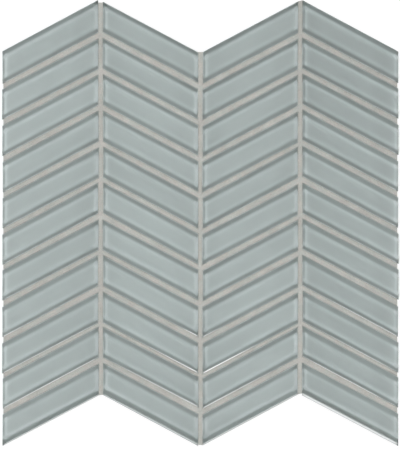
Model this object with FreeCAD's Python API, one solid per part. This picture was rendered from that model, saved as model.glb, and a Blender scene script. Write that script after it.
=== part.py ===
import FreeCAD, Part
import math
import os

# Chevron glass mosaic sheet, lying flat with its glass face up.
# Slanted glass chips stand in mirrored columns on a backing scrim, and grout fills the joints between them.
# X runs across the columns, Y along them and Z out of the face. The origin is under the sheet's middle.

# Driving dimensions, in millimetres and degrees
COLUMNS = 4
ROWS = 11
CHIP_RUN = 66.0  # a chip's width across its column
STRIP_WIDTH = 18.5  # a chip's width square to its long edges
SLANT = 28.0  # angle of the long edges to the X axis
GLASS_THICKNESS = 8.0
ARRIS_RADIUS = 1.0  # the rounded edge round a chip's face
JOINT_WIDTH = 3.5  # between the rows, square to the long edges
COLUMN_JOINT = 2.55  # between the columns
JOINT_RECESS = 1.2  # from the glass face down to the grout
JOINT_SETBACK = 0.3  # from the chips' outer edges in to the ends of the grout, at the least
SCRIM_THICKNESS = 0.5
SCRIM_SETBACK = 2.0  # from the sheet's outline in to the cut edge of the scrim
COLUMN_DROPS = (0.15, -0.05, 0.5, -0.5)  # how far each column is set below its true place
BOTTOM_ROWS = 2  # how many rows at the bottom are set a little high
BOTTOM_LIFT = 0.9  # how far they are set up, which narrows the joint over them
PLACING_SCATTER = 0.2  # how far a chip may sit off its place, as set by hand
TURN_SCATTER = 0.35  # how far a chip may be turned, as set by hand

# Sizes that follow from the driving dimensions
SLOPE = math.tan(math.radians(SLANT))
CHIP_SIDE = STRIP_WIDTH / math.cos(math.radians(SLANT))
JOINT_SIDE = JOINT_WIDTH / math.cos(math.radians(SLANT))
COLUMN_PITCH = CHIP_RUN + COLUMN_JOINT
ROW_PITCH = CHIP_SIDE + JOINT_SIDE
STACK_HEIGHT = ROWS * CHIP_SIDE + (ROWS - 1) * JOINT_SIDE
FACE_HEIGHT = SCRIM_THICKNESS + GLASS_THICKNESS
CHIP_LENGTH = CHIP_RUN / math.cos(math.radians(SLANT))
SCATTER_REACH = PLACING_SCATTER * math.sqrt(2) + math.radians(TURN_SCATTER) * CHIP_LENGTH / 2

UP = FreeCAD.Vector(0, 0, 1)


def column_middle(column):
    """X of a column's centre line."""
    return (column - (COLUMNS - 1) / 2) * COLUMN_PITCH


def column_drop(column):
    """How far a column is set below its true place."""
    return COLUMN_DROPS[column % len(COLUMN_DROPS)]


def row_middle(row):
    """Y of a row's chips, from the top row down. The lift of the bottom rows is shared out about the middle."""
    lift = BOTTOM_LIFT / 2 if row >= ROWS - BOTTOM_ROWS else -BOTTOM_LIFT / 2
    return ((ROWS - 1) / 2 - row) * ROW_PITCH + lift


def column_slope(column):
    """Rise of the long edges: columns rise and fall in turn, which makes the chevrons."""
    return SLOPE if column % 2 == 0 else -SLOPE


def scatter(column, row, channel):
    """A fixed, uneven number from -1 to 1 for one chip, standing for the setter's hand."""
    wave = math.sin(12.9898 * (column + 1) + 78.233 * (row + 1) + 37.719 * channel) * 43758.5453
    return 2 * (wave - math.floor(wave)) - 1


def prism(points, bottom, height):
    """An upright solid on a closed outline of (x, y) points."""
    corners = [FreeCAD.Vector(x, y, bottom) for x, y in points]
    return Part.Face(Part.makePolygon(corners + corners[:1])).extrude(UP * height)


def chip_outline(column):
    """A chip's parallelogram about its own middle."""
    half_run = CHIP_RUN / 2
    half_rise = column_slope(column) * half_run
    half_side = CHIP_SIDE / 2
    return [
        (-half_run, -half_rise - half_side),
        (half_run, half_rise - half_side),
        (half_run, half_rise + half_side),
        (-half_run, -half_rise + half_side),
    ]


def set_chip(solid, column, row):
    """Moves a chip from the middle of the sheet to its place, a little off true."""
    turn = TURN_SCATTER * scatter(column, row, 0)
    solid.rotate(FreeCAD.Vector(0, 0, 0), UP, turn)
    across = column_middle(column) + PLACING_SCATTER * scatter(column, row, 1)
    along = row_middle(row) - column_drop(column) + PLACING_SCATTER * scatter(column, row, 2)
    solid.translate(FreeCAD.Vector(across, along, 0))
    return solid


def glass_chip(column, row):
    """One chip of cut glass, with its face edges rounded."""
    blank = prism(chip_outline(column), SCRIM_THICKNESS, GLASS_THICKNESS)
    face_edges = [edge for edge in blank.Edges if edge.BoundBox.ZMin > FACE_HEIGHT - ARRIS_RADIUS]
    return set_chip(blank.makeFillet(ARRIS_RADIUS, face_edges), column, row)


def chip_pocket(column, row):
    """The room that one chip takes in the grout."""
    return set_chip(prism(chip_outline(column), 0, FACE_HEIGHT), column, row)


def sheet_outline(setback):
    """The sheet's zigzag outline, drawn in by a setback."""
    inset = setback / math.cos(math.radians(SLANT))
    half_height = (STACK_HEIGHT - BOTTOM_LIFT) / 2 - inset
    top, bottom = [], []
    for column in range(COLUMNS):
        middle = column_middle(column)
        left = middle - CHIP_RUN / 2 + (setback if column == 0 else 0)
        right = middle + CHIP_RUN / 2 - (setback if column == COLUMNS - 1 else 0)
        for x in (left, right):
            rise = column_slope(column) * (x - middle) - column_drop(column)
            top.append((x, rise + half_height))
            bottom.append((x, rise - half_height))
    return top + bottom[::-1]


def joint_grout():
    """The grout as one lattice: a slab of the sheet's outline with a pocket for each chip."""
    depth = GLASS_THICKNESS - JOINT_RECESS
    slab = prism(sheet_outline(JOINT_SETBACK + SCATTER_REACH), SCRIM_THICKNESS, depth)
    pockets = [chip_pocket(column, row) for column in range(COLUMNS) for row in range(ROWS)]
    return slab.cut(pockets).Solids[0]


def backing_scrim():
    """The scrim that the chips are glued to, as a plain sheet of its real outline and thickness."""
    return prism(sheet_outline(SCRIM_SETBACK), 0, SCRIM_THICKNESS)


os.makedirs("parts", exist_ok=True)
for column in range(COLUMNS):
    for row in range(ROWS):
        glass_chip(column, row).exportStep(f"parts/glass_chip_column{column + 1}_row{row + 1:02d}.step")
joint_grout().exportStep("parts/joint_grout.step")
backing_scrim().exportStep("parts/backing_scrim.step")
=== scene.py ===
"""Dresses the chevron mosaic sheet: glass chips, sanded grout and a woven scrim, on a white table."""
import logging
import math
import random
from dataclasses import dataclass, field
from enum import Enum
from functools import cache, reduce

import bpy
import numpy as np
from bpy.types import ID, Material, Mesh, Node, NodeOutputs, NodeSocket, NodeTree, Object
from mathutils import Matrix, Vector, noise


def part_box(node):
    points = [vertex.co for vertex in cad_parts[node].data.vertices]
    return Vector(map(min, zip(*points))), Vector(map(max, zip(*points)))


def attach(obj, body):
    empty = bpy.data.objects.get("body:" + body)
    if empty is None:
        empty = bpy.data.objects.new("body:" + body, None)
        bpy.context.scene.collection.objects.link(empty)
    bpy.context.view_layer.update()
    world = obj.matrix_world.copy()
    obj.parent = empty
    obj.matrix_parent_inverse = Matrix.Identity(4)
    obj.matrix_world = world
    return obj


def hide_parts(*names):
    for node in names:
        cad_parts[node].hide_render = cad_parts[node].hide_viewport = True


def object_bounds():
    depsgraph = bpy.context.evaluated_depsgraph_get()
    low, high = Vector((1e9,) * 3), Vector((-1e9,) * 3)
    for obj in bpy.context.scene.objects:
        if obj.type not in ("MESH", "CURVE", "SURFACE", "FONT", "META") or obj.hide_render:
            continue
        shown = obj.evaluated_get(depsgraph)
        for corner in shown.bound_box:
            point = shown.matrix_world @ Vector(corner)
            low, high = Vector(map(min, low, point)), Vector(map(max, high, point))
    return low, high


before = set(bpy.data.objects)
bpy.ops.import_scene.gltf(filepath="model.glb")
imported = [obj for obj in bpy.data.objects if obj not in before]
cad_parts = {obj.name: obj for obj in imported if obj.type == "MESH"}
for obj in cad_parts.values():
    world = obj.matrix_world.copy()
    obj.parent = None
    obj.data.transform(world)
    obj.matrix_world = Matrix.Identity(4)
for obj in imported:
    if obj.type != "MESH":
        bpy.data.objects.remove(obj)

CAD_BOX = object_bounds()
LOG = logging.getLogger("mosaic_sheet")
MM = 0.001
BODY = "root"
SEED = 11
DECIMALS = 6  # of a metre, which is to the micrometre
SAME_HEIGHT = 0.01 * MM  # points that lie nearer than this in height count as level
ARRIS_END = 32.4  # from a chip's middle along X to the end of its arris, in millimetres
WHITE = (1.0, 1.0, 1.0)
UP = np.array([0.0, 0.0, 1.0])

Colour = tuple[float, float, float]
Grain = tuple[float, float, float]  # speckles and clouds to the metre, and the clouds' share of the tone
Floats = tuple[float, ...]
Pair = tuple[float, float]
Pairs = tuple[Pair, ...]
Stops = tuple[tuple[float, Colour], ...]


class Slot(Enum):
    """The record's material slots, one for each kind of piece."""

    GLASS = "glass"
    GROUT = "grout"
    SCRIM = "scrim"


class ChipSide(Enum):
    """The surfaces of a chip, in the order of its material slots."""

    FACE = 0
    LONG_EDGE = 1
    END = 2
    BACK = 3
    OPEN_EDGE = 4
    ARRIS = 5


class Lean(Enum):
    """Whether a chip's long edges rise or fall to the right."""

    RISING = 1
    FALLING = -1


class Wiring:
    """Adds nodes to one node tree and joins them."""

    MIX_INPUTS = (0, 6, 7)  # a Mix node's factor and its two colours
    MIX_OUTPUT = 2

    def __init__(self, tree: NodeTree) -> None:
        """Starts on an emptied tree."""
        self.tree = tree
        tree.nodes.clear()

    def add(self, kind: str, settings: dict | None = None, **inputs: object) -> Node:
        """Adds a node, sets its properties and fills its inputs.

        Args:
            kind: the node's type name without its ShaderNode prefix.
            settings: properties of the node itself.
            inputs: socket names, with underscores for spaces, and what they get: a socket or a constant.

        Returns:
            The new node.
        """
        prefix = "" if kind.startswith("NodeGroup") else "ShaderNode"
        node = self.tree.nodes.new(prefix + kind)
        for name, value in (settings or {}).items():
            setattr(node, name, value)
        for name, value in inputs.items():
            self.feed(node.inputs[name.replace("_", " ")], value)
        return node

    def feed(self, socket: NodeSocket, value: object) -> None:
        """Links a socket to another one or sets its constant.

        Args:
            socket: the input to fill.
            value: an output socket, a number, a vector or a colour.
        """
        if isinstance(value, NodeSocket):
            self.tree.links.new(value, socket)
        else:
            socket.default_value = (*value, 1.0) if socket.type == "RGBA" else value

    def maths(self, operation: str, *values: object, clamp: bool = False) -> NodeSocket:
        """One step of arithmetic.

        Args:
            operation: the Math node's operation.
            values: its operands in order, sockets or numbers.
            clamp: whether the result stays between 0 and 1.

        Returns:
            The socket with the result.
        """
        node = self.add("Math", {"operation": operation, "use_clamp": clamp})
        for socket, value in zip(node.inputs, values):
            self.feed(socket, value)
        return node.outputs[0]

    def ramp(self, factor: NodeSocket, stops: Stops, ease: str = "EASE") -> NodeSocket:
        """A colour ramp.

        Args:
            factor: what runs along the ramp.
            stops: places from 0 to 1 and their colours.
            ease: how the colours between the stops are found.

        Returns:
            The colour socket.
        """
        node = self.add("ValToRGB", Fac=factor)
        elements = node.color_ramp.elements
        while len(elements) < len(stops):
            elements.new(0.5)
        for element, (place, colour) in zip(elements, stops):
            element.position = place
            element.color = (*colour, 1.0)
        node.color_ramp.interpolation = ease
        return node.outputs["Color"]

    def mixed(self, blend: str, factor: object, first: object, second: object) -> NodeSocket:
        """Two colours mixed.

        Args:
            blend: the Mix node's blend type.
            factor: how much of the second colour is used.
            first: the lower colour.
            second: the upper colour.

        Returns:
            The colour socket.
        """
        node = self.add("Mix", {"data_type": "RGBA", "blend_type": blend})
        for place, value in zip(self.MIX_INPUTS, (factor, first, second)):
            self.feed(node.inputs[place], value)
        return node.outputs[self.MIX_OUTPUT]

    def grain(self, speckles: float, clouds: float, cloud_share: float) -> NodeOutputs:
        """Places the shared grain, whose values come in the order of Grain."""
        scales = {"Speckle_Scale": speckles, "Cloud_Scale": clouds, "Cloud_Share": cloud_share}
        return self.add("Group", {"node_tree": mineral_grain()}, **scales).outputs

    def share(self, value: NodeSocket, ends: Pair, ease: str = "SMOOTHSTEP") -> NodeSocket:
        """How far a value has come from one end to the other, from 0 to 1."""
        settings = {"interpolation_type": ease}
        return self.add("MapRange", settings, Value=value, From_Min=ends[0], From_Max=ends[1]).outputs[0]

    def between(self, share: NodeSocket, ends: Pair) -> NodeSocket:
        """A value that goes from one end to the other as a share goes from 0 to 1."""
        return self.maths("MULTIPLY_ADD", share, ends[1] - ends[0], ends[0])

    def product(self, *values: object) -> NodeSocket:
        """All the values multiplied, from the first on."""
        return reduce(lambda so_far, value: self.maths("MULTIPLY", so_far, value), values)

    def clouded(self, share: NodeSocket, colour: Colour, shade: float) -> NodeSocket:
        """A colour that clouds over to a darker shade of itself."""
        return self.mixed("MIX", share, tuple(shade * part for part in colour), colour)

    def axes(self, vector: NodeSocket) -> NodeOutputs:
        """A vector's X, Y and Z."""
        return self.add("SeparateXYZ", Vector=vector).outputs

    def place(self) -> NodeSocket:
        """The place of a point on its piece."""
        return self.add("TexCoord").outputs["Object"]

    def noted(self, name: str, output: str) -> NodeSocket:
        """What is noted on a piece's mesh under a name."""
        return self.add("Attribute", {"attribute_name": name}).outputs[output]

    def surface(self, **inputs: object) -> None:
        """Ends a material with its one shader, which takes its inputs as add does."""
        self.add("OutputMaterial", Surface=self.add("BsdfPrincipled", **inputs).outputs[0])


@cache
def mineral_grain() -> NodeTree:
    """Builds the grain that the finishes share, once: fine speckle over soft clouds.

    Returns:
        The node group.
    """
    tree = bpy.data.node_groups.new("mineral_grain", "ShaderNodeTree")
    for name in ("Speckle Scale", "Cloud Scale", "Cloud Share"):
        tree.interface.new_socket(name, in_out="INPUT", socket_type="NodeSocketFloat")
    for name in ("Speckle", "Clouds", "Tone"):
        tree.interface.new_socket(name, in_out="OUTPUT", socket_type="NodeSocketFloat")
    wiring = Wiring(tree)
    given = wiring.add("NodeGroupInput").outputs
    place = wiring.place()
    speckle = wiring.add("TexNoise", Vector=place, Scale=given["Speckle Scale"], Detail=3.0, Roughness=0.6)
    clouds = wiring.add("TexNoise", Vector=place, Scale=given["Cloud Scale"], Detail=2.0, Roughness=0.5)
    parts = {"A": speckle.outputs[0], "B": clouds.outputs[0]}
    tone = wiring.add("Mix", Factor=given["Cloud Share"], **parts).outputs[0]
    wiring.add("NodeGroupOutput", Speckle=parts["A"], Clouds=parts["B"], Tone=tone)
    return tree


@dataclass(frozen=True)
class Finish:
    """A finish by its plain name. Each kind of finish wires its own nodes."""

    name: str

    def wire(self, wiring: Wiring) -> None:
        """Adds the nodes of the finish, up to its surface."""
        raise NotImplementedError

    def material(self) -> Material:
        """Makes the material of the finish.

        Returns:
            The material.
        """
        material = bpy.data.materials.new(self.name)
        material.use_nodes = True
        self.wire(Wiring(material.node_tree))
        return material


@dataclass(frozen=True)
class ClearGlass(Finish):
    """The clear glass of a chip, polished on its face and satin on its arris."""

    roughness: Pair
    tint: Colour = (0.97, 0.99, 0.985)
    ior: float = 1.5
    haze: Grain = (400.0, 45.0, 0.7)

    def wire(self, wiring: Wiring) -> None:
        """Wires the glass, with the faint haze that handling leaves on it."""
        roughness = wiring.between(wiring.grain(*self.haze)["Tone"], self.roughness)
        wiring.surface(Base_Color=self.tint, Roughness=roughness, IOR=self.ior, Transmission_Weight=1.0)


@dataclass(frozen=True)
class GroundEdge(Finish):
    """The sawn and ground side of a chip, frosted and faintly green."""

    colour: Colour
    shade: float = 0.93
    roughness: Pair = (0.45, 0.65)
    frost: Grain = (1500.0, 160.0, 0.5)
    saw_marks: Floats = (90.0, 90.0, 2600.0)
    saw_depth: float = 0.03 * MM

    def wire(self, wiring: Wiring) -> None:
        """Wires the ground glass, with the saw's level marks.

        Args:
            wiring: the material's wiring.
        """
        frost = wiring.grain(*self.frost)
        colour = wiring.clouded(frost["Tone"], self.colour, self.shade)
        roughness = wiring.between(frost["Speckle"], self.roughness)
        level = wiring.add("Mapping", Vector=wiring.place(), Scale=self.saw_marks).outputs[0]
        marks = wiring.add("TexNoise", Vector=level, Scale=1.0, Detail=2.0).outputs[0]
        bump = wiring.add("Bump", Strength=0.5, Distance=self.saw_depth, Height=marks).outputs[0]
        wiring.surface(Base_Color=colour, Roughness=roughness, Normal=bump)


@dataclass(frozen=True)
class MirroredEnd(Finish):
    """The polished end of a chip in a joint, which throws the light inside the glass back like a mirror."""

    name: str = "mirrored_end"
    colour: Colour = (0.92, 0.95, 0.94)
    shade: float = 0.94
    roughness: Pair = (0.07, 0.17)
    cut: Grain = (900.0, 140.0, 0.5)

    def wire(self, wiring: Wiring) -> None:
        """Wires the mirroring end, a little uneven as a cut end is.

        Args:
            wiring: the material's wiring.
        """
        cut = wiring.grain(*self.cut)
        colour = wiring.clouded(cut["Tone"], self.colour, self.shade)
        roughness = wiring.between(cut["Clouds"], self.roughness)
        wiring.surface(Base_Color=colour, Roughness=roughness, Metallic=1.0)


@dataclass(frozen=True)
class BackCoat(Finish):
    """The pale grey-blue coat on a chip's back, seen through the glass.

    Its colour carries painted light and shade: painted shade along the sawn long edges, a painted highlight
    beside that, and painted light at the ends.
    """

    strip: float
    run: float
    colour: Colour = (0.625, 0.685, 0.681)
    # the colour of the painted highlights where they are strongest
    bead: Colour = (0.644, 0.683, 0.688)
    highlight_from: float = 1.1
    most_lightness: float = 1.44
    roughness: float = 0.6
    clouds: Grain = (700.0, 70.0, 0.6)
    mottle: float = 0.05
    chip_spread: float = 0.04  # change of lightness with a chip's tone, which carries painted shade by column and row
    lean_across: float = 5.5 * MM  # shift of the painted bands across a chip, to a metre up the sheet
    lean_along: float = 4.4 * MM  # and along it, to a metre to the right
    highlight_lean: float = 3.0  # change of the painted highlights' strength, to a metre up the sheet
    corner_band: Pair = (1.6 * MM, 3.2 * MM)  # off a long edge, where the ends' painted bands fade in
    ramp_top: float = 2.0  # the lightness at a ramp's white, which a ramp can't pass
    band_reach: float = 10.0 * MM
    end_reach: float = 20.0 * MM
    # Ramps of painted light and shade: off the long edges, off the left end and off the right end
    long_stops: Pairs = (
        (0.0, 0.85), (0.06, 0.82), (0.11, 0.795), (0.16, 0.81), (0.21, 0.88), (0.26, 1.015), (0.31, 1.175),
        (0.36, 1.265), (0.41, 1.28), (0.47, 1.21), (0.54, 1.105), (0.62, 1.035), (0.75, 1.0),
    )
    left_stops: Pairs = (
        (0.0, 0.90), (0.02, 0.89), (0.042, 0.915), (0.062, 1.03), (0.086, 1.21), (0.114, 1.36), (0.14, 1.28),
        (0.172, 1.12), (0.212, 1.03), (0.28, 0.99), (0.4, 0.985), (0.55, 0.99), (0.75, 1.0),
    )
    right_stops: Pairs = (
        (0.0, 1.08), (0.024, 1.28), (0.048, 1.40), (0.076, 1.43), (0.1, 1.34), (0.128, 1.18), (0.16, 1.065),
        (0.2, 1.005), (0.25, 0.985), (0.35, 0.975), (0.47, 0.972), (0.65, 0.978), (0.82, 0.988), (1.0, 1.0),
    )

    def band_light_and_shade(
        self, wiring: Wiring, distance: NodeSocket, reach: float, stops: Pairs, shadow: object, bead: object
    ) -> NodeSocket:
        """The painted light and shade at a distance from an edge, as a factor on the coat's colour.

        Args:
            wiring: the material's wiring.
            distance: the distance from the edge, in metres.
            reach: the distance at the ramp's end.
            stops: places on the ramp and the lightness there.
            shadow: the strength of the painted shade where the ramp falls below 1.
            highlight: the strength of the painted highlight where the ramp rises above 1.

        Returns:
            The socket with the lightness, about 1 over most of the chip.
        """
        place = wiring.maths("DIVIDE", distance, reach, clamp=True)
        greys = tuple((at, (lightness / self.ramp_top,) * 3) for at, lightness in stops)
        lightness = wiring.maths("MULTIPLY", wiring.ramp(place, greys, "CARDINAL"), self.ramp_top)
        fall = wiring.maths("SUBTRACT", wiring.maths("MINIMUM", lightness, 1.0), 1.0)
        rise = wiring.maths("SUBTRACT", wiring.maths("MAXIMUM", lightness, 1.0), 1.0)
        return wiring.maths("MULTIPLY_ADD", rise, bead, wiring.maths("MULTIPLY_ADD", fall, shadow, 1.0))

    def wire(self, wiring: Wiring) -> None:
        """Wires the coat, whose painted light and shade come from the distances to the chip's four sides.

        Args:
            wiring: the material's wiring.
        """
        plan = wiring.axes(wiring.add("UVMap", {"uv_map": "plan"}).outputs["UV"])
        sheet = wiring.axes(wiring.place())
        across = wiring.maths("MULTIPLY_ADD", sheet["Y"], -self.lean_across, plan["Y"])
        along = wiring.maths("MULTIPLY_ADD", sheet["X"], -self.lean_along, plan["X"])
        to_upper = wiring.maths("SUBTRACT", self.strip / 2, across)
        to_lower = wiring.maths("ADD", across, self.strip / 2)
        to_left = wiring.maths("ADD", along, self.run / 2)
        to_right = wiring.maths("SUBTRACT", self.run / 2, along)
        edges = wiring.axes(wiring.noted("edge_strengths", "Vector"))
        shift = wiring.product(sheet["Y"], self.highlight_lean, edges["Z"])
        upper_highlight = wiring.maths("ADD", edges["Z"], shift)
        lower_highlight = wiring.maths("SUBTRACT", edges["Z"], shift)
        upper = self.band_light_and_shade(wiring, to_upper, self.band_reach, self.long_stops, edges["X"], upper_highlight)
        lower = self.band_light_and_shade(wiring, to_lower, self.band_reach, self.long_stops, edges["Y"], lower_highlight)
        ends = wiring.axes(wiring.noted("right_strengths", "Vector"))
        left = self.band_light_and_shade(wiring, to_left, self.end_reach, self.left_stops, 1.0, 1.0)
        right = self.band_light_and_shade(wiring, to_right, self.end_reach, self.right_stops, ends["X"], ends["Y"])
        within = wiring.share(wiring.maths("MINIMUM", to_upper, to_lower), self.corner_band)
        end = wiring.maths("SUBTRACT", wiring.product(left, right), 1.0)
        end = wiring.maths("MULTIPLY_ADD", end, within, 1.0)
        clouds = wiring.grain(*self.clouds)["Tone"]
        mottle = wiring.between(clouds, (1 - self.mottle / 2, 1 + self.mottle / 2))
        # The chip's tone, which carries painted shade by column and row besides its random tone
        tone = wiring.maths("MULTIPLY_ADD", wiring.noted("tone", "Fac"), self.chip_spread, 1.0)
        lightness = wiring.product(upper, lower, end, mottle, tone)
        lightness = wiring.maths("MINIMUM", lightness, self.most_lightness)
        highlit = wiring.share(lightness, (self.highlight_from, self.most_lightness), "LINEAR")
        colour = wiring.mixed("MULTIPLY", 1.0, wiring.mixed("MIX", highlit, self.colour, self.bead), lightness)
        wiring.surface(Base_Color=colour, Roughness=self.roughness)


@dataclass(frozen=True)
class PaintedGlint(Finish):
    """Painted glints along an arris: matte paint from grey where the glint is faint to white where it is
    bright, standing in for the lamps' reflection.
    """

    name: str = "painted_arris_glint"
    # The painted glints' colours: grey where faint, white where bright
    fine: Colour = (0.43, 0.465, 0.455)
    coarse: Colour = (0.92, 0.93, 0.93)
    roughness: Pair = (0.4, 0.6)
    frost: Grain = (1500.0, 160.0, 0.5)
    uneven: Pair = (-0.05, 0.05)

    def wire(self, wiring: Wiring) -> None:
        """Wires the matte paint of the painted glints.

        Args:
            wiring: the material's wiring.
        """
        frost = wiring.grain(*self.frost)
        uneven = wiring.between(frost["Tone"], self.uneven)
        shade = wiring.maths("ADD", wiring.noted("tone", "Fac"), uneven, clamp=True)
        colour = wiring.mixed("MIX", shade, self.fine, self.coarse)
        wiring.surface(Base_Color=colour, Roughness=wiring.between(frost["Speckle"], self.roughness))


@dataclass(frozen=True)
class SandedGrout(Finish):
    """Fine-sanded greige cement grout, with painted shade that darkens it towards the far right corner."""

    name: str = "sanded_grout"
    shades: Stops = (
        (0.28, (0.308, 0.308, 0.289)), (0.5, (0.412, 0.415, 0.396)), (0.72, (0.54, 0.534, 0.509)),
    )
    tints: Stops = ((0.38, (1.0, 0.965, 0.945)), (0.62, (0.965, 0.985, 0.97)))
    roughness: Pair = (0.82, 0.97)
    gloss: float = 0.3
    sand: Grain = (1100.0, 110.0, 0.35)
    sand_depth: float = 0.12 * MM
    patches: Grain = (230.0, 230.0, 0.0)
    corner_shade: float = 0.075
    corner_shade_band: Pair = (0.06, 0.16)
    corner_shade_lean: float = 0.35

    def wire(self, wiring: Wiring) -> None:
        """Wires the grout.

        Args:
            wiring: the material's wiring.
        """
        sand = wiring.grain(*self.sand)
        tint = wiring.ramp(wiring.grain(*self.patches)["Speckle"], self.tints)
        colour = wiring.mixed("MULTIPLY", 1.0, wiring.ramp(sand["Tone"], self.shades), tint)
        sheet = wiring.axes(wiring.place())
        # Painted shade: darker towards the far right corner
        corner = wiring.maths("MULTIPLY_ADD", sheet["Y"], self.corner_shade_lean, sheet["X"])
        corner_shade = wiring.maths("MULTIPLY_ADD", wiring.share(corner, self.corner_shade_band), -self.corner_shade, 1.0)
        colour = wiring.mixed("MULTIPLY", 1.0, colour, corner_shade)
        roughness = wiring.between(sand["Speckle"], self.roughness)
        bump = wiring.add("Bump", Strength=0.6, Distance=self.sand_depth, Height=sand["Speckle"]).outputs[0]
        wiring.surface(Base_Color=colour, Roughness=roughness, Normal=bump, Specular_IOR_Level=self.gloss)


@dataclass(frozen=True)
class FibreglassYarn(Finish):
    """White glass-fibre yarn with a skin of glue."""

    name: str = "fibreglass_yarn"
    shades: Stops = ((0.3, (0.66, 0.67, 0.65)), (0.65, (0.84, 0.85, 0.83)))
    roughness: Pair = (0.3, 0.6)
    glue: Grain = (500.0, 90.0, 0.6)
    strands: Floats = (120.0, 7.0, 1.0)
    strand_depth: float = 0.04 * MM

    def wire(self, wiring: Wiring) -> None:
        """Wires the yarn, streaked along its fibres.

        Args:
            wiring: the material's wiring.
        """
        lie = wiring.add("UVMap", {"uv_map": "lie"}).outputs["UV"]
        drawn = wiring.add("Mapping", Vector=lie, Scale=self.strands).outputs[0]
        streaks = wiring.add("TexNoise", Vector=drawn, Scale=1.0, Detail=3.0, Roughness=0.6).outputs[0]
        glue = wiring.grain(*self.glue)
        shade = wiring.maths("MULTIPLY", wiring.maths("ADD", glue["Tone"], streaks), 0.5)
        roughness = wiring.between(glue["Clouds"], self.roughness)
        bump = wiring.add("Bump", Strength=0.7, Distance=self.strand_depth, Height=streaks).outputs[0]
        wiring.surface(Base_Color=wiring.ramp(shade, self.shades), Roughness=roughness, Normal=bump)


@dataclass(frozen=True)
class WhiteTable(Finish):
    """A table top that is white to the camera and in the glass, and throws little light on the sheet."""

    name: str = "white_table"
    colour: Colour = (0.12, 0.12, 0.12)
    roughness: float = 0.9
    glow: float = 0.9

    def wire(self, wiring: Wiring) -> None:
        """Wires the table top.

        Args:
            wiring: the material's wiring.
        """
        rays = wiring.add("LightPath").outputs
        seen = wiring.maths("MAXIMUM", rays["Is Camera Ray"], rays["Is Glossy Ray"])
        seen = wiring.maths("MAXIMUM", seen, rays["Is Transmission Ray"])
        glow = wiring.maths("MULTIPLY", seen, self.glow)
        wiring.surface(
            Base_Color=self.colour, Roughness=self.roughness, Emission_Color=WHITE, Emission_Strength=glow
        )


def plan_corners(node: str, below: float = math.inf) -> list[Pair]:
    """X and Y of a solid's corners below a height, from left to right."""
    points = (vertex.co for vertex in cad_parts[node].data.vertices)
    return sorted({tuple(round(part, DECIMALS) for part in point.xy) for point in points if point.z < below})


def put(name: str, data: ID) -> Object:
    """Puts an object with its data into the scene.

    Args:
        name: the object's name.
        data: its mesh, camera or lamp.

    Returns:
        The object.
    """
    thing = bpy.data.objects.new(name, data)
    bpy.context.scene.collection.objects.link(thing)
    return thing


def deselect_all() -> None:
    """Leaves edit mode and selects nothing."""
    if bpy.context.object and bpy.context.object.mode != "OBJECT":
        bpy.ops.object.mode_set(mode="OBJECT")
    bpy.ops.object.select_all(action="DESELECT")


def edit_all(action: str) -> None:
    """Goes into edit mode with the whole mesh selected or deselected."""
    bpy.ops.object.mode_set(mode="EDIT")
    bpy.ops.mesh.select_all(action=action)


def dressed(piece: Object, slot: Slot, *nodes: str) -> Object:
    """Ties a finished piece to the frame.

    Args:
        piece: the piece, with its place in its mesh.
        slot: not used.
        nodes: the CAD nodes that it stands for.

    Returns:
        The piece.
    """
    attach(piece, BODY)
    if nodes:
        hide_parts(*nodes)
    return piece


@dataclass
class ChipPlace:
    """Where one chip lies, from the corners of its solid's underside."""

    node: str
    left_low: Vector
    left_high: Vector
    right_low: Vector
    right_high: Vector

    @classmethod
    def of(cls, node: str, end_ease: float) -> "ChipPlace":
        """Reads a chip's corners from the frame.

        Args:
            node: the chip's node.
            end_ease: how far the ends are ground back from the solid's.

        Returns:
            The chip's place.
        """
        low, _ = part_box(node)
        corners = plan_corners(node, low.z + SAME_HEIGHT)
        ends = (sorted(end, key=lambda corner: corner[1]) for end in (corners[:2], corners[2:]))
        place = cls(node, *(Vector((x, y, low.z)) for end in ends for x, y in end))
        ease = Vector((1, math.tan(place.heading), 0)) * end_ease
        place.left_low, place.left_high = place.left_low + ease, place.left_high + ease
        place.right_low, place.right_high = place.right_low - ease, place.right_high - ease
        return place

    def away(self, corner: str, clearance: float) -> Vector:
        """Moves a corner out.

        Args:
            corner: its name.
            clearance: how far it moves off the long edge and the end.

        Returns:
            The moved corner.
        """
        along = (self.right_low - self.left_low).normalized()
        start = getattr(self, corner)
        outward = start - self.middle
        above = outward.y - along.y / along.x * outward.x
        upward = Vector((0, math.copysign(clearance / along.x, above), 0))
        return start + upward + along * math.copysign(clearance, outward.x)

    @property
    def middle(self) -> Vector:
        """The centre of the chip's underside."""
        return (self.left_low + self.left_high + self.right_low + self.right_high) / 4

    @property
    def heading(self) -> float:
        """The angle of the chip's long edges to the X axis, in radians."""
        along = self.right_low + self.right_high - self.left_low - self.left_high
        return math.atan2(along.y, along.x)


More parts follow.
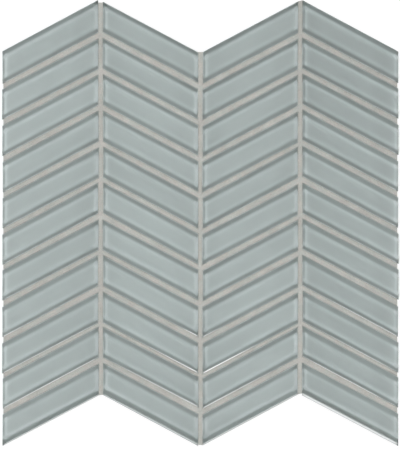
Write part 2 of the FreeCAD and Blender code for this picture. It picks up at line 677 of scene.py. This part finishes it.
@dataclass
class GlassChips:
    """The slanted glass chips, modelled once for each way that the columns lean."""

    columns: int = 4
    rows: int = 11
    run: float = 65.4 * MM
    strip: float = 18.5 * MM
    slant: float = math.radians(28.0)
    arris: float = 1.0 * MM
    arris_steps: int = 5
    arris_band: float = 1.01 * MM  # how far from the edge a point still belongs to the arris
    end_arris: float = 0.6 * MM
    corner: float = 0.35 * MM
    smooth_angle: float = math.radians(40)
    flat: float = 0.99  # the least upward share of the face's normal
    sloping: float = 0.05  # and of an arris's
    square: float = 0.9  # the least sideways share of an end's normal
    facing: float = 0.5  # the least outward share of a long edge's or the back's
    lift: float = 0.03 * MM  # off the scrim
    end_ease: float = 0.3 * MM
    overhang: float = 0.5 * MM  # of the outer ends. The values in fours go by column
    top_overhangs: Floats = (1.35 * MM, 0.05 * MM, 0.75 * MM, 0.75 * MM)
    foot_overhangs: Floats = (0.75 * MM, 0.85 * MM, 0.25 * MM, 1.35 * MM)
    foot_arrises: Floats = (1.1 * MM, 1.7 * MM, 1.4 * MM, 2.0 * MM)
    # Shifts of the painted bands: at the foot row's lower edge and at the open right end
    foot_band_shift: float = 0.25 * MM
    open_end_band_shift: float = 0.6 * MM
    # Shift of the painted bands along the upper edges, by column
    upper_band_shifts: Floats = (0.0, 0.2 * MM, 0.4 * MM, 0.0)
    column_shades: Pairs = ((-0.4, 0.0), (-0.6, 0.3), (-0.9, 0.5), (-4.0, -1.5))  # painted shade, darker to the right and at the top: at the top row and the bottom row
    foot_tone: float = 1.3
    tone_spread: float = 0.5
    # How much of the painted shade stays along the foot row's lower edge, by column
    foot_shade_strengths: Floats = (0.68, 0.7, 0.66, 0.5)
    edge_strengths: tuple[Floats, ...] = (  # painted shade at the upper and the lower edge, and the painted highlights' strength
        (0.8, 1.35, 1.03), (1.15, 1.0, 1.05), (1.25, 0.97, 0.97), (0.45, 1.35, 1.35),
    )
    right_strengths: tuple[Floats, ...] = (  # painted shade and painted highlight at the right end
        (1, 1, 0), (1, 1, 0), (1, 1, 0), (2.2, 0.6, 0),
    )
    places: dict[tuple[int, int], ChipPlace] = field(default_factory=dict)

    def __post_init__(self) -> None:
        """Reads every chip's place from the frame."""
        for column in range(1, self.columns + 1):
            for row in range(1, self.rows + 1):
                node = f"glass_chip_column{column}_row{row:02d}"
                self.places[column, row] = ChipPlace.of(node, self.end_ease)

    def slope(self, lean: Lean) -> float:
        """The rise of a chip's long edges."""
        return lean.value * math.tan(self.slant)

    def model(self, lean: Lean, finishes: tuple[Material, ...]) -> Object:
        """Models one chip about the origin.

        Args:
            lean: which way it leans.
            finishes: materials in the order of ChipSide.

        Returns:
            The chip's object.
        """
        low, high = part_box(self.places[1, 1].node)
        thickness = high.z - low.z - self.lift
        size = (self.run, self.strip / math.cos(self.slant), thickness)
        rise = self.run * self.slope(lean)
        deselect_all()
        bpy.ops.mesh.primitive_cube_add(size=1, location=(0, 0, thickness / 2), scale=size)
        bpy.ops.object.transform_apply(location=True, scale=True)
        chip = bpy.context.object
        for end in (-1, 1):
            self.slide_end(chip, end, end * rise / 2)
        self.round_edges(chip, thickness)
        self.sort_sides(chip)
        self.map_plan(chip.data, self.slope(lean))
        for finish in finishes:
            chip.data.materials.append(finish)
        return chip

    @staticmethod
    def slide_end(chip: Object, end: int, rise: float) -> None:
        """Slides one end of the blank along Y.

        Args:
            chip: the blank.
            end: -1 for the left end, 1 for the right.
            rise: how far it slides.
        """
        edit_all("DESELECT")
        bpy.ops.object.mode_set(mode="OBJECT")
        for vertex in chip.data.vertices:
            vertex.select = vertex.co.x * end > 0
        bpy.ops.object.mode_set(mode="EDIT")
        bpy.ops.transform.translate(value=(0, rise, 0))
        bpy.ops.object.mode_set(mode="OBJECT")

    def round_edges(self, chip: Object, thickness: float) -> None:
        """Rounds the face's arris and eases the upright corners.

        Args:
            chip: the chip's blank.
            thickness: the glass's thickness.
        """
        weights = chip.data.attributes.new("bevel_weight_edge", "FLOAT", "EDGE")
        for edge in chip.data.edges:
            first, second = (chip.data.vertices[i].co for i in edge.vertices)
            if min(first.z, second.z) > thickness / 2:
                width = self.arris if first.x * second.x < 0 else self.end_arris
            else:
                width = self.corner if max(first.z, second.z) > thickness / 2 else 0.0
            weights.data[edge.index].value = width / self.arris
        rounding = chip.modifiers.new("arris", "BEVEL")
        rounding.width = self.arris
        rounding.segments = self.arris_steps
        rounding.limit_method = "WEIGHT"
        bpy.ops.object.modifier_apply(modifier=rounding.name)
        bpy.ops.object.shade_smooth_by_angle(angle=self.smooth_angle)
        flats = chip.modifiers.new("flats", "WEIGHTED_NORMAL")
        flats.keep_sharp = True
        bpy.ops.object.modifier_apply(modifier=flats.name)

    def sort_sides(self, chip: Object) -> None:
        """Gives each face of a chip its material slot by the way it looks.

        Args:
            chip: the rounded chip.
        """
        for face in chip.data.polygons:
            if face.normal.z > self.flat:
                side = ChipSide.FACE
            elif face.normal.z > self.sloping:
                side = ChipSide.ARRIS
            elif face.normal.z < -self.facing:
                side = ChipSide.BACK
            else:
                side = ChipSide.END if abs(face.normal.x) > self.square else ChipSide.LONG_EDGE
            face.material_index = side.value

    def map_plan(self, mesh: Mesh, slope: float) -> None:
        """Maps a chip by its plan: along the run, and square to the long edges.

        Args:
            mesh: the mesh of a chip about the origin.
            slope: the rise of its long edges.
        """
        plan = mesh.uv_layers.new(name="plan")
        for loop in mesh.loops:
            place = mesh.vertices[loop.vertex_index].co
            plan.data[loop.index].uv = (place.x, (place.y - slope * place.x) * math.cos(self.slant))

    def open_sides(self, mesh: Mesh, column: int, row: int, slope: float) -> None:
        """Finishes the sides on the sheet's outline, a little proud, since no grout covers their arris.

        Args:
            mesh: the mesh of a chip about the origin.
            column: the chip's column.
            row: the chip's row.
            slope: the rise of its long edges.
        """
        end = {1: -1, self.columns: 1}.get(column, 0)
        edge = {1: 1, self.rows: -1}.get(row, 0)
        proud = (self.foot_overhangs if row == self.rows else self.top_overhangs)[column - 1]
        if row == self.rows:
            self.broaden_foot(mesh, slope, self.foot_arrises[column - 1])
        if end > 0:
            for loop, spot in zip(mesh.loops, mesh.uv_layers["plan"].data):
                spot.uv.x += self.open_end_band_shift if mesh.vertices[loop.vertex_index].co.x > 0 else 0.0
        for vertex in mesh.vertices:
            across = vertex.co.y - slope * vertex.co.x
            if vertex.co.x * end > 0:
                vertex.co += Vector((end, end * slope, 0)) * self.overhang
            if across * edge > 0:
                vertex.co.y += edge * proud / math.cos(self.slant)
        for face in mesh.polygons:
            side = ChipSide(face.material_index)
            if side == ChipSide.END and face.normal.x * end > self.square:
                face.material_index = ChipSide.FACE.value
            elif side == ChipSide.LONG_EDGE and face.normal.y * edge > self.facing:
                face.material_index = ChipSide.OPEN_EDGE.value

    def broaden_foot(self, mesh: Mesh, slope: float, breadth: float) -> None:
        """Broadens the lower arris of a chip at the sheet's foot, and shifts the painted bands of its back
        coat in by as much.

        Args:
            mesh: the mesh of a chip about the origin.
            slope: the rise of its long edges.
            breadth: how broad the arris is in plan.
        """
        top = max(vertex.co.z for vertex in mesh.vertices)
        for vertex in mesh.vertices:
            inward = (vertex.co.y - slope * vertex.co.x) * math.cos(self.slant) + self.strip / 2
            if vertex.co.z > top - self.arris_band and inward < self.arris_band:
                vertex.co.y += inward * (breadth / self.arris - 1) / math.cos(self.slant)
        for spot in mesh.uv_layers["plan"].data:
            spot.uv.y -= breadth + self.foot_band_shift if spot.uv.y < 0 else 0.0

    def note_coat_shading(self, mesh: Mesh, column: int, row: int, uneven: float) -> None:
        """Notes on a chip's mesh its tone, which carries painted shade, and the strengths and shifts of its
        coat's painted bands.

        Args:
            mesh: the chip's mesh.
            column: the chip's column.
            row: the chip's row.
            uneven: how much the chip's tone is off its neighbours'.
        """
        # The tone: painted shade by column and row, the chip's own random tone, and a lift in the foot row
        top, bottom = self.column_shades[column - 1]
        shade = top + (bottom - top) * (row - 1) / (self.rows - 1) + uneven
        upper, lower, bead = self.edge_strengths[column - 1]
        if row == self.rows:
            shade += self.foot_tone
            lower *= self.foot_shade_strengths[column - 1]
        count = len(mesh.vertices)
        mesh.attributes.new("tone", "FLOAT", "POINT").data.foreach_set("value", [shade] * count)
        right = self.right_strengths[column - 1]
        for name, values in (("edge_strengths", (upper, lower, bead)), ("right_strengths", right)):
            mesh.attributes.new(name, "FLOAT_VECTOR", "POINT").data.foreach_set("vector", values * count)
        for spot in mesh.uv_layers["plan"].data:
            spot.uv.y += self.upper_band_shifts[column - 1] if spot.uv.y > 0 else 0.0

    def build(self, finishes: tuple[Material, ...]) -> list[Object]:
        """Models the two leans and lays a copy at each chip's place.

        Args:
            finishes: materials in the order of ChipSide.

        Returns:
            The chips' objects.
        """
        models = {lean: self.model(lean, finishes) for lean in Lean}
        chance = random.Random(SEED)
        chips = []
        for (column, row), place in self.places.items():
            lean = Lean.RISING if place.heading > 0 else Lean.FALLING
            mesh = models[lean].data.copy()
            turn = Matrix.Rotation(place.heading - lean.value * self.slant, 4, "Z")
            self.open_sides(mesh, column, row, self.slope(lean))
            mesh.transform(Matrix.Translation(place.middle + Vector((0, 0, self.lift))) @ turn)
            self.note_coat_shading(mesh, column, row, chance.uniform(-self.tone_spread, self.tone_spread))
            chip = put(f"coated_glass_chip_{column}_{row:02d}", mesh)
            chips.append(dressed(chip, Slot.GLASS, place.node))
        for model in models.values():
            bpy.data.objects.remove(model)
        return chips


@dataclass
class Strands:
    """Slim closed tubes gathered for one joined mesh."""

    corners: list[np.ndarray] = field(default_factory=list)
    faces: list[list[int]] = field(default_factory=list)
    maps: list[np.ndarray] = field(default_factory=list)
    count: int = 0

    def sweep(self, rings: np.ndarray, around: list[float]) -> None:
        """Adds one tube, closed at both ends.

        Args:
            rings: the corners of its section at each step, turning left as seen from its far end.
            around: where each corner of the section lies across the map.
        """
        steps, size = rings.shape[:2]
        self.corners.append(rings.reshape(-1, 3))
        last = self.count + size * (steps - 1)
        for base in range(self.count, last, size):
            for side in range(size):
                after = (side + 1) % size
                self.faces.append([base + side, base + after, base + after + size, base + side + size])
        self.faces.append([self.count + side for side in reversed(range(size))])
        self.faces.append([last + side for side in range(size)])
        lengths = np.linalg.norm(np.diff(rings.mean(axis=1), axis=0), axis=1)
        along = np.repeat(np.concatenate([[0.0], np.cumsum(lengths)]), size)
        self.maps.append(np.stack([along, np.tile(around, steps)], axis=1))
        self.count += size * steps

    def draw(self, path: np.ndarray, across: np.ndarray, width: float, thickness: float) -> None:
        """Adds one yarn of a lens-shaped section along a path, where across is level and to its left."""
        left, top = across * width / 2, UP * thickness / 2
        self.sweep(path[:, None, :] + np.array((left, top, -left, -top)), [0.0, 0.5, 1.0, 0.5])

    def piece(self, name: str, finish: Material) -> Object:
        """Makes one piece of all the strands, mapped along and across each.

        Args:
            name: the piece's name.
            finish: its material.

        Returns:
            The piece.
        """
        mesh = bpy.data.meshes.new(name)
        mesh.from_pydata(np.concatenate(self.corners).tolist(), [], self.faces)
        lie = mesh.uv_layers.new(name="lie")
        lie.data.foreach_set("uv", np.concatenate(self.maps)[np.concatenate(self.faces)].ravel())
        mesh.polygons.foreach_set("use_smooth", [True] * len(mesh.polygons))
        mesh.update()
        mesh.materials.append(finish)
        return put(name, mesh)


@dataclass(frozen=True)
class Glint:
    """One painted glint along a chip's lower arris."""

    column: int
    row: int
    start: float
    stop: float
    tone: float
    spreads: Floats
    tilt: float = 46.0


@dataclass
class ArrisGlints:
    """Painted glints: pale matte stretches along the lower arrises near the foot of the sheet, standing in
    for the lamps' reflection there.
    """

    chips: GlassChips
    rise: float = 0.02 * MM
    steps: int = 24
    section: int = 6
    glints: tuple[Glint, ...] = (
        Glint(1, 8, -ARRIS_END, -18.0, 0.5, (26, 14, 1)),
        Glint(2, 8, 22.0, ARRIS_END, 0.9, (1, 14, 24, 28)),
        Glint(4, 8, -14.0, ARRIS_END, 0.45, (2, 17, 18, 18, 20, 18)),
        Glint(1, 9, -ARRIS_END, 28.0, 0.8, (22, 20, 21, 22, 20, 20, 18, 8), 64.0),
        Glint(4, 9, -16.0, 26.0, 0.8, (2, 14, 19, 22, 21, 4), 64.0),
        Glint(2, 9, -4.0, ARRIS_END, 0.85, (1, 12, 19, 26, 32, 37)),
        Glint(3, 8, -ARRIS_END, -22.0, 0.9, (22, 16, 10, 1)),
        Glint(3, 9, -ARRIS_END, 4.0, 1.0, (42, 41, 38, 35, 27, 13, 1)),
        Glint(1, 10, -ARRIS_END, 30.0, 0.85, (28, 25, 25, 25, 24, 23, 22, 20), 60.0),
        Glint(2, 10, -26.0, ARRIS_END, 0.55, (4, 18, 24, 30, 34, 40)),
        Glint(3, 10, -ARRIS_END, 16.0, 0.5, (40, 34, 27, 18, 1)),
        Glint(4, 10, -30.0, 24.0, 0.85, (8, 25, 25, 26, 25, 25, 8), 60.0),
        Glint(1, 11, -ARRIS_END, ARRIS_END, 0.15, (34, 34, 36, 38, 38)),
        Glint(2, 11, -ARRIS_END, ARRIS_END, 0.03, (16, 38, 42, 43, 43)),
        Glint(3, 11, -ARRIS_END, ARRIS_END, 0.1, (43, 43, 42, 40, 38)),
        Glint(4, 11, -ARRIS_END, ARRIS_END, 0.4, (43, 43, 43, 43, 43)),
    )

    def rings(self, glint: Glint) -> np.ndarray:
        """The sections of one painted glint, which hug the rounded arris.

        Args:
            glint: the painted stretch.

        Returns:
            The corners of each section, step by step along the chip.
        """
        chips, place = self.chips, self.chips.places[glint.column, glint.row]
        breadth, proud = chips.arris, 0.0
        if glint.row == chips.rows:
            breadth, proud = chips.foot_arrises[glint.column - 1], chips.foot_overhangs[glint.column - 1]
        out = np.array([math.sin(place.heading), -math.cos(place.heading), 0.0])
        along = np.array([1.0, math.tan(place.heading), 0.0])
        offset = chips.strip / 2 - chips.arris + proud
        axis = np.array(place.middle) + out * offset
        axis[2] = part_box(place.node)[1].z - chips.arris
        shares = np.linspace(0.0, 1.0, self.steps)
        run = glint.start + (glint.stop - glint.start) * shares
        spread = np.interp(shares, np.linspace(0.0, 1.0, len(glint.spreads)), glint.spreads)
        angles = np.radians(glint.tilt + spread[:, None] * np.linspace(-1.0, 1.0, self.section))
        middles = axis + (run[:, None] * MM - out[0] * offset) * along
        radius = chips.arris + self.rise
        outward = radius - (1.0 - np.sin(angles)) * breadth
        upward = radius * np.cos(angles)
        return middles[:, None, :] + outward[:, :, None] * out + upward[:, :, None] * UP

    def build(self, finish: Material) -> Object:
        """Lays all the painted glints as one mesh.

        Args:
            finish: the glints' matte paint.

        Returns:
            The seams' object.
        """
        strands = Strands()
        for glint in self.glints:
            strands.sweep(self.rings(glint), np.linspace(0.0, 1.0, self.section).tolist())
        tones = np.repeat([glint.tone for glint in self.glints], self.steps * self.section)
        glints = strands.piece("painted_arris_glints", finish)
        glints.data.attributes.new("tone", "FLOAT", "POINT").data.foreach_set("value", tones)
        return dressed(glints, Slot.GLASS)


@dataclass
class JointGrout:
    """The grout in the joints, cast as one lattice with a slightly dished, sandy top."""

    chips: GlassChips
    node: str = "joint_grout"
    clearance: float = 0.05 * MM
    brim: float = 7.5 * MM
    dish: float = 0.4 * MM
    dish_reach: float = 1.0 * MM
    lump: float = 0.07 * MM
    lump_pitch: float = 4.0 * MM
    # How far each column joint reaches past the chips: at the top on its left and right side, and at the foot
    top_ends: Pairs = ((-0.4 * MM, -0.6 * MM), (0.1 * MM, 0.8 * MM), (0.8 * MM, 0.8 * MM))
    bottom_ends: Floats = (0.7 * MM, 0.05 * MM, 0.05 * MM)
    side_reach: float = 0.4 * MM
    steps_along: int = 56
    steps_side: int = 18
    steps_across: int = 6
    weld: float = 0.02 * MM
    smooth_angle: float = math.radians(50)

    def row_joint(self, column: int, row: int) -> list[list[Vector]]:
        """The two sides of the joint under a chip.

        Args:
            column: the chip's column.
            row: the chip's row, which isn't the last.

        Returns:
            Points along the upper and the lower side, from left to right.
        """
        low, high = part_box(self.node)
        sides = []
        for chip_row, level in ((row, "low"), (row + 1, "high")):
            chip = self.chips.places[column, chip_row]
            left, right = (chip.away(f"{end}_{level}", self.clearance) for end in ("left", "right"))
            if column == 1:
                left = left.lerp(right, (low.x - self.side_reach - left.x) / (right.x - left.x))
            if column == self.chips.columns:
                right = left.lerp(right, (high.x + self.side_reach - left.x) / (right.x - left.x))
            sides.append([left.lerp(right, step / self.steps_along) for step in range(self.steps_along + 1)])
        return sides

    def column_joint(self, column: int) -> list[list[Vector]]:
        """The two sides of the joint to the right of a column.

        Args:
            column: the column, which isn't the last.

        Returns:
            Points down the left and the right side.
        """
        sides = []
        for place, end, top in zip((column, column + 1), ("right", "left"), self.top_ends[column - 1]):
            corners = []
            for row in range(1, self.chips.rows + 1):
                chip = self.chips.places[place, row]
                corners += [chip.away(f"{end}_{level}", self.clearance) for level in ("high", "low")]
            corners[0] = corners[0] + Vector((0, top, 0))
            corners[-1] = corners[-1] - Vector((0, self.bottom_ends[column - 1], 0))
            line = [corners[0]]
            for index, (start, stop) in enumerate(zip(corners, corners[1:])):
                steps = self.steps_across if index % 2 else self.steps_side
                line += [start.lerp(stop, step / steps) for step in range(1, steps + 1)]
            sides.append(line)
        return sides

    def lay_strip(self, first: list[Vector], second: list[Vector]) -> Object:
        """Lays a grid and draws it between the two sides of a joint.

        Args:
            first: points along one side.
            second: as many points along the other.

        Returns:
            The strip's object.
        """
        deselect_all()
        steps = {"x_subdivisions": len(first) - 1, "y_subdivisions": self.steps_across}
        bpy.ops.mesh.primitive_grid_add(**steps, size=0.01)
        strip = bpy.context.object
        starts, stops = (np.array([tuple(point) for point in side]) for side in (first, second))
        shares = np.linspace(0.0, 1.0, self.steps_across + 1)
        places = np.concatenate([starts + (stops - starts) * share for share in shares])
        strip.data.vertices.foreach_set("co", places.ravel())
        return strip

    def wall_distance(self, places: np.ndarray) -> np.ndarray:
        """How far points lie from the nearest chip, in plan.

        Args:
            places: the points, one to a line.

        Returns:
            Their distances.
        """
        nearest = np.full(len(places), np.inf)
        for chip in self.chips.places.values():
            outline = (chip.left_low, chip.right_low, chip.right_high, chip.left_high)
            corners = [np.array(corner.xy) for corner in outline]
            for start, stop in zip(corners, corners[1:] + corners[:1]):
                run = stop - start
                share = np.clip((places[:, :2] - start) @ run / (run @ run), 0.0, 1.0)
                gap = np.linalg.norm(places[:, :2] - start - share[:, None] * run, axis=1)
                nearest = np.minimum(nearest, gap)
        return nearest

    def dish_top(self, mesh: Mesh) -> None:
        """Sets the top's height: a brim at the glass, a dish along the middle and small lumps.

        Args:
            mesh: the mesh of the joined strips.
        """
        places = np.empty(len(mesh.vertices) * 3)
        mesh.vertices.foreach_get("co", places)
        places = places.reshape(-1, 3)
        dip = 1.0 - np.exp(-((self.wall_distance(places) / self.dish_reach) ** 2))
        lumps = np.array([noise.noise(Vector(place) / self.lump_pitch) for place in places])
        places[:, 2] = self.brim - self.dish * dip + self.lump * lumps * dip
        mesh.vertices.foreach_set("co", places.ravel())

    def build(self, finish: Material) -> Object:
        """Casts the grout.

        Args:
            finish: the grout's material.

        Returns:
            The grout's object.
        """
        columns, rows = range(1, self.chips.columns + 1), range(1, self.chips.rows)
        joints = [self.row_joint(column, row) for column in columns for row in rows]
        joints += [self.column_joint(column) for column in columns[:-1]]
        strips = [self.lay_strip(*joint) for joint in joints]
        deselect_all()
        for strip in strips:
            strip.select_set(True)
        bpy.ops.object.join()
        grout = bpy.context.object
        grout.name = "sanded_joint_grout"
        bpy.ops.object.transform_apply(location=True, rotation=True, scale=True)
        edit_all("SELECT")
        bpy.ops.mesh.remove_doubles(threshold=self.weld)
        bpy.ops.object.mode_set(mode="OBJECT")
        self.dish_top(grout.data)
        edit_all("SELECT")
        bpy.ops.mesh.extrude_region_move(TRANSFORM_OT_translate={"value": (0, 0, -self.brim / 2)})
        bpy.ops.transform.resize(value=(1, 1, 0), center_override=(0, 0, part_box(self.node)[0].z))
        bpy.ops.mesh.select_all(action="SELECT")
        bpy.ops.mesh.normals_make_consistent(inside=False)
        bpy.ops.object.mode_set(mode="OBJECT")
        bpy.ops.object.shade_smooth_by_angle(angle=self.smooth_angle)
        grout.data.materials.append(finish)
        return dressed(grout, Slot.GROUT, self.node)


@dataclass
class BackingScrim:
    """The open fibreglass mesh under the chips: single yarns across and pairs along, twisted round them."""

    node: str = "backing_scrim"
    pitch: float = 5.0 * MM
    middle: float = 0.25 * MM
    cross_width: float = 1.1 * MM
    cross_thickness: float = 0.16 * MM
    cross_wave: float = 47.0 * MM
    pair_width: float = 0.5 * MM
    pair_thickness: float = 0.13 * MM
    pair_wave: float = 60.0 * MM
    pair_sway: float = 0.3 * MM
    pair_rise: float = 0.155 * MM
    pair_dip: float = 0.3
    wander: float = 0.25 * MM
    full_phase: float = 6.28
    samples: int = 10  # points to a pitch that are tried for lying inside the outline
    fewest: int = 6  # points that make a yarn
    end_gap: float = 0.2 * MM
    area: float = 0.0335

    def __post_init__(self) -> None:
        """Reads the zigzag outline from the frame."""
        corners = plan_corners(self.node)
        self.upper = np.array([corner for corner in corners if corner[1] > 0])
        self.lower = np.array([corner for corner in corners if corner[1] < 0])

    def limits(self, x: np.ndarray | float) -> tuple[np.ndarray, np.ndarray]:
        """The scrim's lowest and highest Y at some X."""
        return np.interp(x, *self.lower.T), np.interp(x, *self.upper.T)

    def lay_cross_yarns(self, yarns: Strands, chance: random.Random) -> np.ndarray:
        """Lays the single yarns from side to side.

        Args:
            yarns: where they are gathered.
            chance: the scrim's own chance.

        Returns:
            The yarns' places along Y.
        """
        low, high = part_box(self.node)
        places = np.arange(low.y + self.pitch / 2, high.y, self.pitch)
        fine = np.linspace(low.x, high.x, int((high.x - low.x) / (self.pitch / self.samples)) + 1)
        bottom, top = self.limits(fine)
        for y in places:
            inside = np.flatnonzero((bottom < y) & (y < top))
            phase = chance.uniform(0.0, self.full_phase)
            for stretch in np.split(inside, np.flatnonzero(np.diff(inside) > 1) + 1):
                if len(stretch) < self.fewest:
                    continue
                start, stop = fine[stretch[0]], fine[stretch[-1]]
                x = np.linspace(start, stop, max(2, int(2 * (stop - start) / self.pitch)))
                sway = y + self.wander * np.sin(x / self.cross_wave + phase)
                path = np.stack([x, sway, np.full_like(x, self.middle)], axis=1)
                yarns.draw(path, np.array([0.0, 1.0, 0.0]), self.cross_width, self.cross_thickness)
        return places

    def lay_pairs(self, yarns: Strands, crossings: np.ndarray, chance: random.Random) -> None:
        """Lays the twisted pairs from end to end, one yarn over each cross yarn and one under it.

        Args:
            yarns: where they are gathered.
            crossings: the cross yarns' places along Y.
            chance: the scrim's own chance.
        """
        low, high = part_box(self.node)
        steps = np.arange(crossings[0] - self.pitch, high.y + self.pitch, self.pitch / 2)
        for x in np.arange(low.x + self.pitch / 2, high.x, self.pitch):
            bottom, top = self.limits(x)
            inside = steps[(steps > bottom + self.end_gap) & (steps < top - self.end_gap)]
            y = np.concatenate([[bottom], inside, [top]])
            turn = (y - crossings[0]) / self.pitch * math.pi
            drift = x + self.wander * np.sin(y / self.pair_wave + chance.uniform(0.0, self.full_phase))
            swing = self.pair_rise * (1 - self.pair_dip + self.pair_dip * np.cos(2 * turn))
            for side in (1, -1):
                sway = drift + side * self.pair_sway * np.cos(turn)
                path = np.stack([sway, y, self.middle + side * swing], axis=1)
                yarns.draw(path, np.array([-1.0, 0.0, 0.0]), self.pair_width, self.pair_thickness)

    def build(self, finish: Material) -> Object:
        """Weaves the scrim.

        Args:
            finish: the yarns' material.

        Returns:
            The scrim's object.
        """
        chance = random.Random(SEED)
        yarns = Strands()
        crossings = self.lay_cross_yarns(yarns, chance)
        self.lay_pairs(yarns, crossings, chance)
        scrim = dressed(yarns.piece("woven_backing_scrim", finish), Slot.SCRIM, self.node)
        return scrim


@dataclass
class Studio:
    """The white table, the softboxes and the camera."""

    photo_height: int = 449
    pixel: float = 0.6868 * MM
    camera_height: float = 1.2
    aim_below: float = 0.95 * MM
    aim_left: float = 0.25 * MM
    sensor: float = 36.0
    lamp_power: float = 6.2
    lamp_reach: float = 0.745
    lamp_height: float = 0.95
    lamp_size: Pair = (0.9, 0.5)
    sky: float = 0.56
    table_size: float = 6.0

    def place_camera(self) -> None:
        """Hangs the camera over the sheet, looking straight down."""
        data = bpy.data.cameras.new("overhead")
        data.sensor_width = self.sensor
        data.lens = self.sensor * self.camera_height / (self.pixel * self.photo_height)
        camera = put("overhead", data)
        camera.location = (-self.aim_left, -self.aim_below, CAD_BOX[1].z + self.camera_height)
        bpy.context.scene.camera = camera

    def hang_lamps(self) -> None:
        """Hangs a softbox over each end of the sheet."""
        for name, end in (("softbox_near", -1), ("softbox_far", 1)):
            data = bpy.data.lights.new(name, "AREA")
            data.shape = "RECTANGLE"
            data.size, data.size_y = self.lamp_size
            data.energy = self.lamp_power
            lamp = put(name, data)
            lamp.location = (0, end * self.lamp_reach, self.lamp_height)
            lamp.rotation_euler = (-lamp.location).to_track_quat("-Z", "Y").to_euler()

    def light_sky(self) -> None:
        """Gives the room an even fill."""
        world = bpy.data.worlds.new("room")
        world.use_nodes = True
        wiring = Wiring(world.node_tree)
        fill = wiring.add("Background", Color=WHITE, Strength=self.sky).outputs[0]
        wiring.add("OutputWorld", Surface=fill)
        bpy.context.scene.world = world

    def lay_table(self) -> None:
        """Lays the white table that the sheet lies on."""
        deselect_all()
        bpy.ops.mesh.primitive_plane_add(size=self.table_size)
        table = bpy.context.object
        table.name = "white_table"
        table.data.materials.append(WhiteTable().material())

    def set_up(self) -> None:
        """Builds the whole studio."""
        self.place_camera()
        self.hang_lamps()
        self.light_sky()
        self.lay_table()
        bpy.context.scene.view_settings.view_transform = "Standard"


def main() -> None:
    """Builds the sheet's pieces in order, reports them and sets up the studio."""
    logging.basicConfig(level=logging.INFO, format="%(name)s: %(message)s")
    chips = GlassChips()
    finishes = (
        ClearGlass("polished_glass_face", (0.012, 0.03)),
        GroundEdge("ground_long_edge", (0.82, 0.88, 0.86)),
        MirroredEnd(),
        BackCoat("grey_blue_back_coat_with_painted_bands", chips.strip, chips.run),
        # A darker copy of the ground edge for the sheet's outline: painted shade that deepens the bands along
        # the outer long edges
        GroundEdge("shaded_open_long_edge", (0.60, 0.67, 0.65)),
        ClearGlass("satin_glass_arris", (0.2, 0.3)),
    )
    pieces = [
        *chips.build(tuple(finish.material() for finish in finishes)),
        ArrisGlints(chips).build(PaintedGlint().material()),
        JointGrout(chips).build(SandedGrout().material()),
        BackingScrim().build(FibreglassYarn().material()),
    ]
    for piece in pieces:
        LOG.info("%s: %d faces", piece.name, len(piece.data.polygons))
    Studio().set_up()


if __name__ == "__main__":
    main()
